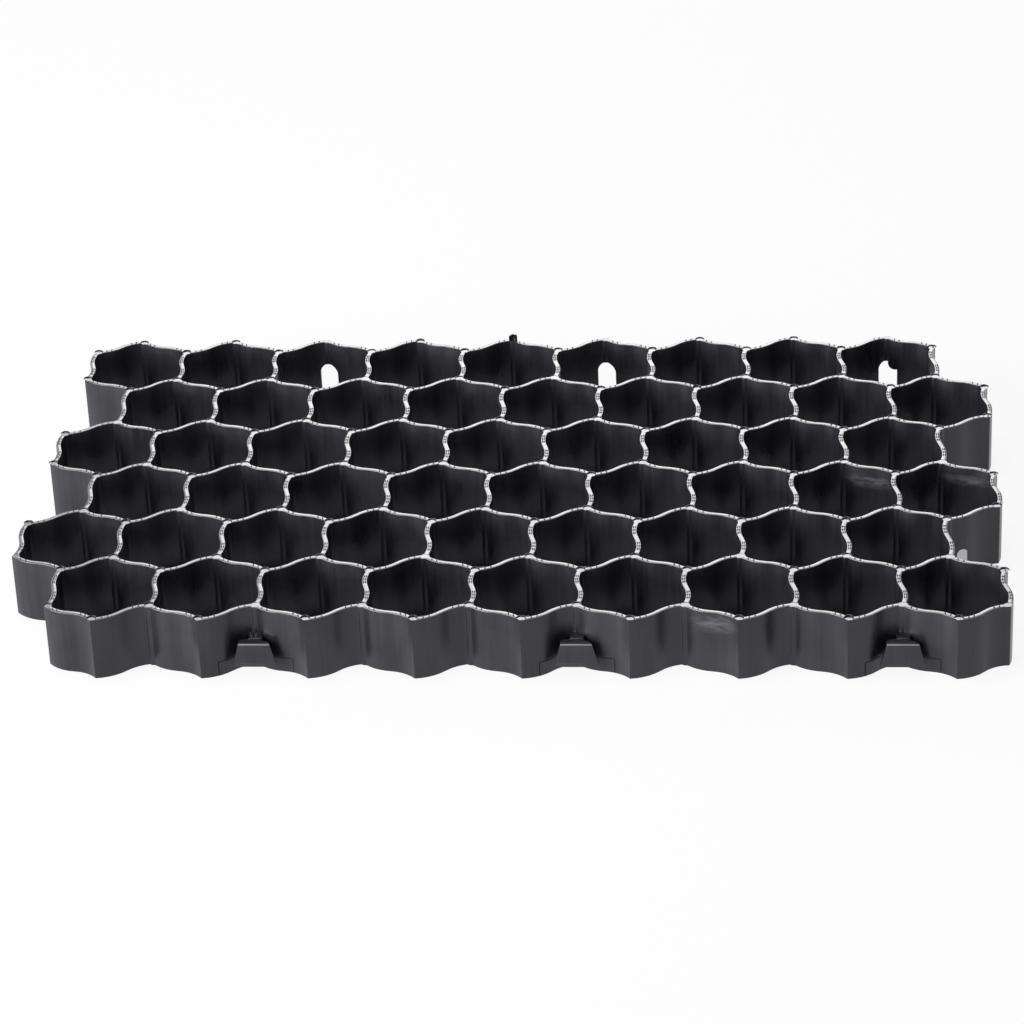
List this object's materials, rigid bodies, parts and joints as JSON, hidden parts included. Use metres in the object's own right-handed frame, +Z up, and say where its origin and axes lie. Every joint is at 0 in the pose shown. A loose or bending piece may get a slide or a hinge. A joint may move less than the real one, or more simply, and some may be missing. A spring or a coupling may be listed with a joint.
{
  "type": "grass paver grid",
  "caption": "Flat honeycomb ground grid with waved cell walls, round posts at the corners, coupling hooks on the front edge and matching arched windows at the back.",
  "frame": {"origin": "centre of the underside", "axes": "+X along the rows, +Y from the front row with the hooks to the back row with the windows, +Z up"},
  "size_m": [0.6202, 0.4014, 0.0444],
  "materials": {
    "recycled_plastic": "satin black moulded plastic with glossy upper edges"
  },
  "bodies": {
    "root": {"paver_grid": "recycled_plastic"}
  },
  "joints": []
}
